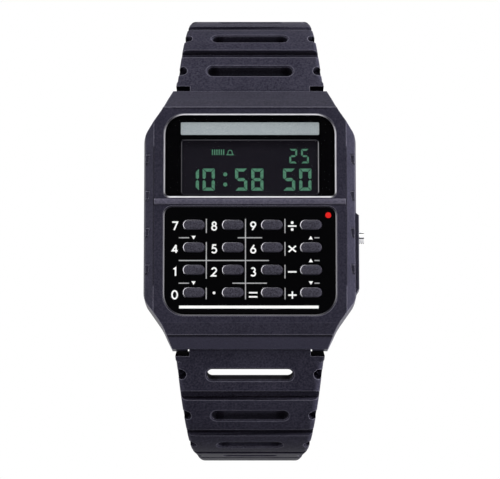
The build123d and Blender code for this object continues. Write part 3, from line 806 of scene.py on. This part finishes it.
def roundBand(node):
    # What the solid and the sweep have in common takes the place of the solid
    half = band["halves"][node]
    points, faces = bandEnvelope(half)
    mesh = bpy.data.meshes.new(node + "Sweep")
    mesh.from_pydata(points.tolist(), [], faces)
    cutter = plainObject(node + "Sweep", mesh)
    source = nodes[node].data.copy()
    welded = bmesh.new()
    welded.from_mesh(source)
    bmesh.ops.remove_doubles(welded, verts=welded.verts, dist=band["weld"] * mm)
    welded.to_mesh(source)
    welded.free()
    solid = plainObject(node + "Solid", source)
    common = solid.modifiers.new("common", "BOOLEAN")
    common.operation = "INTERSECT"
    common.solver = "EXACT"
    common.object = cutter
    bpy.context.view_layer.update()
    made = bpy.data.meshes.new_from_object(solid.evaluated_get(bpy.context.evaluated_depsgraph_get()))
    for helper in (solid, cutter):
        bpy.data.objects.remove(helper)
    smooth(made, band["smoothAngle"])
    made.materials.clear()
    made.materials.append(materials["band_resin"])
    made.polygons.foreach_set("material_index", np.zeros(len(made.polygons), int))
    evenNormals(made, half)
    piece = plainObject(node + "Rounded", made)
    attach(piece, node)
    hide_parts(node)
    print(node, "rounded:", len(made.polygons), "faces")


roundBand("band_12")
roundBand("band_6")


# Keys: rounded caps that take the place of the plain ones, each on its own body
def stadium(length, breadth, x, y, steps=16):
    # Loop of points of a bar with round ends
    radius, half = breadth / 2, (length - breadth) / 2
    turn = np.linspace(-np.pi / 2, np.pi / 2, steps)
    right = np.column_stack([half + radius * np.cos(turn), radius * np.sin(turn)])
    return np.concatenate([right, -right]) + [x, y]


def addKeyCap(name):
    # Flange, upright sides and a crown that rises over the inset as a rounded power curve
    low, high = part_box(name)
    x, y = (low.x + high.x) / 2, (low.y + high.y) / 2
    flangeLength, flangeBreadth, flangeHeight = keys["flange"]
    share = np.concatenate([np.linspace(*shares) for shares in keys["crownShares"]])
    inset = share * keys["breadth"] / 2
    crown = (1 - (1 - share) ** keys["crownPower"]) ** (1 / keys["crownPower"])
    levels = [
        (flangeLength, flangeBreadth, low.z),
        (flangeLength, flangeBreadth, low.z + flangeHeight),
        (keys["length"], keys["breadth"], low.z + flangeHeight),
    ]
    for step, rise in zip(inset, crown):
        top = high.z - keys["edge"] * (1 - rise)
        levels.append((keys["length"] - 2 * step, keys["breadth"] - 2 * step, top))
    loops = []
    for length, breadth, z in levels:
        outline = stadium(length, breadth, x, y)
        loops.append(np.column_stack([outline, np.full(len(outline), z)]))
    piece = addPiece(name + "Cap", *stacked(loops), materials["key_rubber"], "key_rubber", name)
    smooth(piece.data, keys["smoothAngle"])
    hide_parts(name)


for row in keys["rows"]:
    for name in row:
        addKeyCap("key_" + name)
print("key caps rounded")


# Strokes: least points of an arc, degrees for each further point, and the least cosine in a mitre
stroking = {"leastPoints": 4, "arcStep": 12, "mitreLimit": 0.4}


def strokePoints(parts):
    # Middle line of a stroke: points as they are, arcs as points on an ellipse
    points = []
    for part in parts:
        if len(part) == 2:
            points.append(np.array([part], float))
            continue
        x, y, radiusX, radiusY, first, last = part
        count = stroking["leastPoints"] + int(abs(last - first) / stroking["arcStep"])
        turn = np.radians(np.linspace(first, last, count))
        points.append(np.column_stack([x + radiusX * np.cos(turn), y + radiusY * np.sin(turn)]))
    return np.concatenate(points)


def strokeSides(line, width):
    # Left and right sides of a stroke, with mitred corners
    closed = np.allclose(line[0], line[-1])
    if closed:
        line = line[:-1]
        before, after = line - np.roll(line, 1, axis=0), np.roll(line, -1, axis=0) - line
    else:
        way = np.diff(line, axis=0)
        before, after = np.concatenate([way[:1], way]), np.concatenate([way, way[-1:]])
    before = before / np.linalg.norm(before, axis=1, keepdims=True)
    after = after / np.linalg.norm(after, axis=1, keepdims=True)
    mitre = before + after
    mitre = mitre / np.linalg.norm(mitre, axis=1, keepdims=True)
    stretch = 1 / np.maximum(np.sum(mitre * after, axis=1, keepdims=True), stroking["mitreLimit"])
    side = np.column_stack([-mitre[:, 1], mitre[:, 0]]) * stretch * width / 2
    return line + side, line - side, closed


def strokeSolid(line, width, low, high):
    # Flat closed solid along a stroke: a ring where its line is closed, otherwise one prism
    left, right, closed = strokeSides(line, width)
    if not closed:
        return prisms([turned(np.concatenate([left, right[::-1]]))], low, high)
    levels = ((left, low), (left, high), (right, high), (right, low))
    return loopSurface([np.column_stack([loop, np.full(len(loop), level)]) for loop, level in levels])


def joined(solids):
    # Several solids as one list of points and one of faces
    points, faces, start = [], [], 0
    for own, made in solids:
        points.append(own)
        faces += [[index + start for index in face] for face in made]
        start += len(own)
    return np.concatenate(points), faces


# Display: seven-bar digits and small marks, on the glass
display = {
    "large": {"width": 1.95 * mm, "height": 3.6 * mm, "stroke": 0.5 * mm, "south": 4.45 * mm},
    "largeDigits": [("1", -10.15), ("0", -7.6), ("5", -2.39), ("8", 0.21), ("5", 5.30), ("0", 7.90)],
    "small": {"width": 1.25 * mm, "height": 2.35 * mm, "stroke": 0.3 * mm, "south": 8.9 * mm},
    "smallDigits": [("2", 6.32), ("5", 8.2)],
    "gap": 0.07 * mm,
    "colonX": -3.97 * mm,
    "colonY": (5.45 * mm, 7.1 * mm),
    "colonRadius": 0.32 * mm,
    "bars": (-6.12 * mm, -4.15 * mm, 10.25 * mm, 11.15 * mm),
    "barCount": 6,
    "barShare": 0.5,
    "bell": (-3.2 * mm, 10.2 * mm, 0.52 * mm),
    "bellStroke": 0.14 * mm,
    "bellCrownShare": 0.62,
    "bellFootShares": ((0.72, 0.5), (1, 0.2), (-1, 0.2), (-0.72, 0.5)),
    "bellSteps": 12,
    "thickness": 0.02 * mm,
}
lit = {
    "0": "abcdef", "1": "bc", "2": "abged", "3": "abgcd", "4": "fgbc", "5": "afgcd",
    "6": "afgedc", "7": "abc", "8": "abcdefg", "9": "abcdfg",
}


def turned(outline):
    # The outline as it is or reversed, so that it runs counter-clockwise
    flat = np.asarray(outline, float)
    following = np.roll(flat, -1, axis=0)
    area = np.sum(flat[:, 0] * following[:, 1] - flat[:, 1] * following[:, 0])
    return flat if area > 0 else flat[::-1]


def digitBars(text, left, size):
    # Bars a to g of one digit: mitred shapes round the frame, and a pointed bar across the middle
    gap, stroke, south = display["gap"], size["stroke"], size["south"]
    right, north, middle = left + size["width"], south + size["height"], south + size["height"] / 2
    half = stroke / 2
    x0, x1 = left + stroke, right - stroke  # inner sides of the frame
    y0, y1 = south + stroke, north - stroke
    upper, lower = middle + half, middle - half
    shapes = {
        "a": [(left + gap, north), (x0 + gap, y1), (x1 - gap, y1), (right - gap, north)],
        "d": [(left + gap, south), (right - gap, south), (x1 - gap, y0), (x0 + gap, y0)],
        "b": [(right, north - gap), (x1, y1 - gap), (x1, upper + gap),
              (right - half, middle + gap), (right, upper)],
        "c": [(right, lower), (right - half, middle - gap), (x1, lower - gap),
              (x1, y0 + gap), (right, south + gap)],
        "f": [(left, north - gap), (left, upper), (left + half, middle + gap),
              (x0, upper + gap), (x0, y1 - gap)],
        "e": [(left, south + gap), (x0, y0 + gap), (x0, lower - gap),
              (left + half, middle - gap), (left, lower)],
        "g": [(left + half + gap, middle), (x0 + gap, lower), (x1 - gap, lower),
              (right - half - gap, middle), (x1 - gap, upper), (x0 + gap, upper)],
    }
    return [turned(shapes[letter]) for letter in lit[text]]


def bellOutline(x, y, radius):
    # Bell: a half circle on two flaring sides and a flat lip
    turn = np.linspace(np.pi, 0, display["bellSteps"])
    reach = display["bellCrownShare"] * radius
    crown = np.column_stack([x + reach * np.cos(turn), y + radius + reach * np.sin(turn)])
    foot = np.array(display["bellFootShares"]) * radius + [x, y]
    return turned(np.concatenate([crown, foot]))


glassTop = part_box("lcd_glass")[1].z
inkTop = glassTop + display["thickness"]
digitInk = makeInk("digit")
outlines = []
for text, x in display["largeDigits"]:
    outlines += digitBars(text, x * mm, display["large"])
for y in display["colonY"]:
    outlines.append(disc(display["colonX"], y, display["colonRadius"]))
addPiece("displayDigits", *prisms(outlines, glassTop, inkTop), digitInk, "lcd")

outlines = []
for text, x in display["smallDigits"]:
    outlines += digitBars(text, x * mm, display["small"])
x0, x1, y0, y1 = display["bars"]
pitch = (x1 - x0) / (display["barCount"] - 1 + display["barShare"])
for index in range(display["barCount"]):
    outlines.append(bar(x0 + index * pitch, y0, x0 + (index + display["barShare"]) * pitch, y1))
bell = bellOutline(*display["bell"])
bell = strokeSolid(np.concatenate([bell, bell[:1]]), display["bellStroke"], glassTop, inkTop)
addPiece("displayMarks", *joined([prisms(outlines, glassTop, inkTop), bell]), digitInk, "lcd")
print("display drawn")


# Keypad print: labels beside the keys, thin lines between them and the thick bar below; lines in millimetres
keypadPrint = {
    "labelX": -2.98 * mm,
    "labelY": (-0.19 * mm, -0.25 * mm, -0.32 * mm, -0.37 * mm),
    "labelHeight": 1.52 * mm,
    "labelStroke": 0.25 * mm,
    "dotRadius": 0.23 * mm,
    "dotSteps": 20,
    "columns": {
        -6.96: [(-2.8, -0.5), (-10.15, -4.25), (-13.45, -11.6)],
        -0.72: [(-13.45, -0.5)],
        5.57: [(-2.8, -0.5), (-6.45, -4.25), (-10.1, -7.9), (-13.45, -11.6)],
    },
    "rows": {
        -3.55: [(-11.34, -9.69), (-1.96, 1.94), (10.26, 11.06)],
        -7.22: [(-11.34, 3.01), (10.26, 11.06)],
        -10.87: [(-11.34, -9.69), (-2.8, 2.68), (10.26, 11.06)],
    },
    "arrows": [
        (-8.98, -3.53, -1), (9.68, -3.53, 1), (9.68, -7.2, 1),
        (-8.98, -10.85, -1), (9.68, -10.85, -1),
    ],
    "arrowSize": (0.34, 0.29),
    "line": 0.17,
    "bar": (-11.26, -14.93, 10.9, -14.46),
    "dot": (12.48, 0.1, 0.47),
    "thickness": 0.015 * mm,
    "crossLift": 0.4,
}
# Strokes of each label in a frame one high: points, or arcs as middle x and y, radius x and y,
# and the angles where they start and end
glyphs = {
    "0": [[(-0.03, 0.5, 0.33, 0.5, 0, 360)]],
    "1": [[(-0.17, 0.84), (0.07, 1.0), (0.07, 0)]],
    "2": [[(0, 0.72, 0.28, 0.28, 165, -35), (-0.3, 0), (0.31, 0)]],
    "3": [[(-0.01, 0.75, 0.23, 0.25, 150, -90)], [(-0.01, 0.26, 0.28, 0.26, 90, -150)]],
    "4": [[(0.12, 0), (0.12, 1.0)], [(0.12, 1.0), (-0.33, 0.27), (0.33, 0.27)]],
    "5": [[(0.26, 1.0), (-0.14, 1.0), (-0.2, 0.58), (-0.02, 0.31, 0.3, 0.31, 110, -150)]],
    "6": [[(0.12, 1.0), (-0.23, 0.47)], [(0, 0.29, 0.29, 0.29, 0, 360)]],
    "7": [[(-0.37, 1.0), (0.29, 1.0), (-0.13, 0)]],
    "8": [[(0, 0.76, 0.22, 0.24, 0, 360)], [(0, 0.26, 0.28, 0.26, 0, 360)]],
    "9": [[(-0.12, 0), (0.23, 0.53)], [(0, 0.71, 0.29, 0.29, 0, 360)]],
    "divide": [[(-0.53, 0.5), (0.53, 0.5)]],
    "multiply": [[(-0.46, 0.12), (0.46, 0.88)], [(-0.46, 0.88), (0.46, 0.12)]],
    "minus": [[(-0.54, 0.5), (0.54, 0.5)]],
    "equals": [[(-0.54, 0.76), (0.54, 0.76)], [(-0.54, 0.24), (0.54, 0.24)]],
    "plus": [[(-0.53, 0.46), (0.53, 0.46)], [(0, 0), (0, 0.92)]],
    "point": [],
}
glyphDots = {"divide": [(0, 0.93), (0, 0.07)], "point": [(0, 0.74)]}
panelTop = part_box("keypad_panel")[1].z
printThickness, crossLift = keypadPrint["thickness"], keypadPrint["crossLift"]
printTop = panelTop + printThickness
whiteInk = makeInk("white")
thinInk = makeInk("thin")
redInk = makeInk("red")


def labelSolids(name, row):
    # Strokes and dots of one label; a later stroke stands a little higher, so that crossings don't flicker
    low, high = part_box("key_" + name)
    size = keypadPrint["labelHeight"] - keypadPrint["labelStroke"]
    x = (low.x + high.x) / 2 + keypadPrint["labelX"]
    y = (low.y + high.y) / 2 + keypadPrint["labelY"][row]
    made = []
    for order, stroke in enumerate(glyphs[name]):
        line = [x, y] + (strokePoints(stroke) - [0, 0.5]) * size
        top = panelTop + printThickness * (1 + crossLift * order)
        made.append(strokeSolid(line, keypadPrint["labelStroke"], panelTop, top))
    dots = []
    radius, steps = keypadPrint["dotRadius"], keypadPrint["dotSteps"]
    for across, up in glyphDots.get(name, []):
        dots.append(disc(x + across * size, y + (up - 0.5) * size, radius, steps))
    if dots:
        made.append(prisms(dots, panelTop, printTop))
    return made


solids = []
for row, names in enumerate(keys["rows"]):
    for name in names:
        solids += labelSolids(name, row)
addPiece("keyLabels", *joined(solids), whiteInk, "panel_black")

half = keypadPrint["line"] / 2
upright, across = [], []
for x, runs in keypadPrint["columns"].items():
    upright += [np.array(bar(x - half, low, x + half, high)) * mm for low, high in runs]
for y, runs in keypadPrint["rows"].items():
    across += [np.array(bar(low, y - half, high, y + half)) * mm for low, high in runs]
crossTop = panelTop + printThickness * (1 + crossLift)
solids = [prisms(upright, panelTop, printTop), prisms(across, panelTop, crossTop)]
addPiece("panelLines", *joined(solids), thinInk, "panel_black")

wide, tall = keypadPrint["arrowSize"]
outlines = []
for x, y, way in keypadPrint["arrows"]:
    arrow = [(x - wide, y - way * tall), (x + wide, y - way * tall), (x, y + way * tall)]
    outlines.append(turned(arrow) * mm)
outlines.append(np.array(bar(*keypadPrint["bar"])) * mm)
addPiece("panelMarks", *prisms(outlines, panelTop, printTop), whiteInk, "panel_black")
outlines = [disc(*(value * mm for value in keypadPrint["dot"]))]
addPiece("panelDot", *prisms(outlines, panelTop, printTop), redInk, "panel_black")
print("keypad print drawn")


# Painted highlights on the edges of the two windows and of the display, as flat rings: outline (width,
# south, north), corner radii (south, north), level, reach (inwards, outwards) and the painted light to N, S,
# W and E
caseTop = 8.0 * mm
lensLow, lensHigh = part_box("lens")
panelLow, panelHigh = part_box("keypad_panel")
rims = {
    "lensRim": {
        "outline": (lensHigh.x - lensLow.x, lensLow.y, lensHigh.y),
        "radii": (0.9 * mm, 3.2 * mm),
        "level": caseTop,
        "reach": (-0.12 * mm, 0.1 * mm),
        "light": (0.65, 0.85, 0.4, 0.55),
    },
    "panelRim": {
        "outline": (panelHigh.x - panelLow.x, panelLow.y, panelHigh.y),
        "radii": (3.4 * mm, 1.4 * mm),
        "level": caseTop,
        "reach": (-0.1 * mm, 0.08 * mm),
        "light": (0.0, 0.12, 0.26, 0.22),
    },
    "displayFrame": {
        "outline": (21.8 * mm, 3.75 * mm, 12.45 * mm),
        "radii": (0.4 * mm, 0.4 * mm),
        "level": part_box("lens_mask")[1].z,
        "reach": (0.0, 0.13 * mm),
        "light": (0.04, 0.0, 0.06, 0.3),
    },
}
rimShape = {"thickness": 0.015 * mm, "focus": 12}
rimHighlightFinish = makeRimHighlight()


def addRim(name, rim):
    # Ring along the outline; each point takes the painted light of the side that it faces
    loop, outward = roundedRing(*rim["outline"], *rim["radii"])
    inside, outside = rim["reach"]
    low, high = rim["level"], rim["level"] + rimShape["thickness"]
    loops = []
    for reach, level in ((inside, low), (inside, high), (outside, high), (outside, low)):
        loops.append(np.column_stack([loop + outward * reach, np.full(len(loop), level)]))
    piece = addPiece(name, *loopSurface(loops), rimHighlightFinish, "lens")
    x, y = outward.T
    facing = np.clip(np.array([y, -y, -x, x]), 0, 1) ** rimShape["focus"]
    light = np.tile(np.array(rim["light"]) @ facing, len(loops))
    shine = piece.data.attributes.new("shine", "FLOAT", "POINT")
    shine.data.foreach_set("value", light.astype(np.float32))


for name, rim in rims.items():
    addRim(name, rim)

# Low rounded ridge across the case between the two windows, in the lighter ridge resin that paints a
# highlight along it
ridge = {
    "length": 30.6 * mm,
    "y": 2.32 * mm,
    "width": 0.95 * mm,
    "rise": 0.2 * mm,
    "fullness": 0.8,
    "steps": 15,
}
turn = np.linspace(0, np.pi, ridge["steps"])
y = ridge["y"] + ridge["width"] / 2 * np.cos(turn)
z = caseTop + ridge["rise"] * np.sin(turn) ** ridge["fullness"]
loops = [np.column_stack([np.full(len(turn), x), y, z]) for x in (-ridge["length"] / 2, ridge["length"] / 2)]
addPiece("bridgeRidge", *stacked(loops), materials["ridge_resin"], "case_resin")
print("window edges drawn")


# Stage: white floor and surroundings, soft lamps and the photograph's view
stage = {
    "floorSize": 3.0,
    "floorGrain": 4 * mm,
    "floorPaint": ((38, 38, 40), (42, 42, 44)),
    "cameraDistance": 0.5,
    "cameraTilt": 9.3,
    "aim": (0.0, -3.83 * mm, 8.0 * mm),
    "viewWidth": 79.65 * mm,
    "sensorWidth": 36,
    "clipStart": 0.01,
}
# Lamps that face the watch: place, size, power, and whether glossy parts mirror them
lamps = {
    "leftSoftbox": ((-0.62, 0.05, 0.08), (0.6, 0.2), 3.8, False),
    "rightSoftbox": ((0.62, 0.05, 0.02), (0.6, 0.2), 14.0, False),
    "northSoftbox": ((0.0, 0.6, 0.6), (1.0, 0.3), 3.9, True),
    "northStrip": ((0.0, 0.8, 0.07), (1.2, 0.16), 3.2, True),
    "southSoftbox": ((0.0, -0.14, 0.71), (0.7, 0.25), 3.0, False),
}
# Room light: a low glow from the north and from both sides, nearly dark elsewhere
room = {"dim": 0.008, "side": 0.1, "north": 0.14, "flatness": 1.25, "colour": (238, 236, 255)}
white = (1, 1, 1, 1)


def seenDirectly(finish):
    # 1 for the rays of the camera, of mirror images and of glass, which show the white surroundings
    camera, glossy, through = (finish.node("ShaderNodeLightPath", output=index) for index in (0, 3, 6))
    return finish.clamp(camera + glossy + through)


def makeFloor():
    # White where it is seen, dark paint for the light that it throws back
    finish = Finish("whiteFloor")
    paper = finish.noise(stage["floorGrain"], 3)
    paint = finish.surface({
        "Base Color": finish.mix(paper, *stage["floorPaint"]),
        "Roughness": 0.9,
        "Specular IOR Level": 0.0,
    })
    glow = finish.node("ShaderNodeEmission", values={"Color": white, "Strength": 1.0})
    shades = {0: seenDirectly(finish), 1: paint, 2: glow}
    return finish.done(finish.node("ShaderNodeMixShader", values=shades))


def addLamp(name, place, size, power, mirrored):
    # Rectangular lamp turned to the origin
    lamp = bpy.data.lights.new(name, "AREA")
    lamp.shape = "RECTANGLE"
    lamp.size, lamp.size_y = size
    lamp.energy = power
    holder = plainObject(name, lamp)
    holder.location = place
    holder.rotation_euler = (-Vector(place)).to_track_quat("-Z", "Y").to_euler()
    holder.visible_glossy = mirrored


floorOutline = bar(*(stage["floorSize"] / 2 * way for way in (-1, -1, 1, 1)))
floorPoints = [(x, y, cadBox[0].z) for x, y in floorOutline]
floor = addPiece("floor", floorPoints, [(0, 1, 2, 3)], makeFloor(), "steel")
floor.parent = None
for name, settings in lamps.items():
    addLamp(name, *settings)

world = bpy.data.worlds.new("studio")
world.use_nodes = True
sky = Finish.of(world.node_tree)
ray = sky.node("ShaderNodeTexCoord")
level = sky.clamp((1 - sky.absolute(sky.axis(2, ray))) * room["flatness"])
glow = sky.clamp(sky.axis(1, ray)) * room["north"] + sky.absolute(sky.axis(0, ray)) * room["side"]
strength = level * level * glow + room["dim"]
dim = sky.node("ShaderNodeBackground", values={"Color": colour(room["colour"]), "Strength": strength})
bright = sky.node("ShaderNodeBackground", values={"Color": white, "Strength": 1.0})
surroundings = sky.node("ShaderNodeMixShader", values={0: seenDirectly(sky), 1: dim, 2: bright})
sky.node("ShaderNodeOutputWorld", values={"Surface": surroundings})
bpy.context.scene.world = world

tilt = math.radians(stage["cameraTilt"])
camera = bpy.data.cameras.new("camera")
camera.sensor_width = stage["sensorWidth"]
camera.lens = stage["sensorWidth"] * stage["cameraDistance"] / stage["viewWidth"]
camera.clip_start = stage["clipStart"]
cameraObject = plainObject("camera", camera)
back = Vector((0, -math.sin(tilt), math.cos(tilt)))
cameraObject.location = Vector(stage["aim"]) + back * stage["cameraDistance"]
cameraObject.rotation_euler = (tilt, 0, 0)
bpy.context.scene.camera = cameraObject
bpy.context.scene.view_settings.view_transform = "Standard"
print("stage set")
